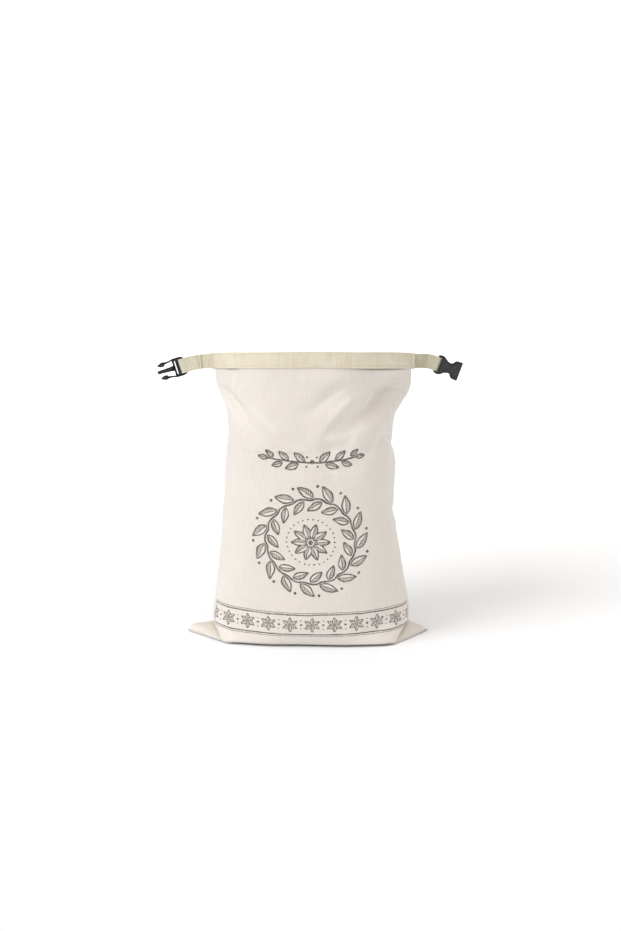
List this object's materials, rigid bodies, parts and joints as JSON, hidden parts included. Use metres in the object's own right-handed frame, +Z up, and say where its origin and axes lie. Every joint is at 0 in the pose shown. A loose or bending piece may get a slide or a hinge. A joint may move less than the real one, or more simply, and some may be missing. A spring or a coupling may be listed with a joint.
{
  "type": "roll-top waxed cotton bread bag",
  "caption": "Tall flat-based cloth bag that stands open, with webbing round its mouth and a side-release buckle to close the rolled top.",
  "frame": {"origin": "middle of the bag's outer box in X and Y, on the surface it stands on", "axes": "+Z up, the printed front looks along -Y, +X towards the socket half of the buckle"},
  "size_m": [0.4226, 0.186, 0.4207],
  "materials": {
    "printed_cotton": "waxed plain weave, printed in dark brown",
    "waxed_cotton": "waxed plain weave",
    "webbing": "ribbed cotton webbing",
    "buckle_plastic": "satin moulded"
  },
  "bodies": {
    "root": {"front_panel": "printed_cotton", "back_panel": "waxed_cotton", "mouth_tape_front": "webbing", "mouth_tape_back": "webbing", "tab_left": "webbing", "tab_right": "webbing", "buckle_male": "buckle_plastic", "buckle_female": "buckle_plastic"}
  },
  "joints": []
}
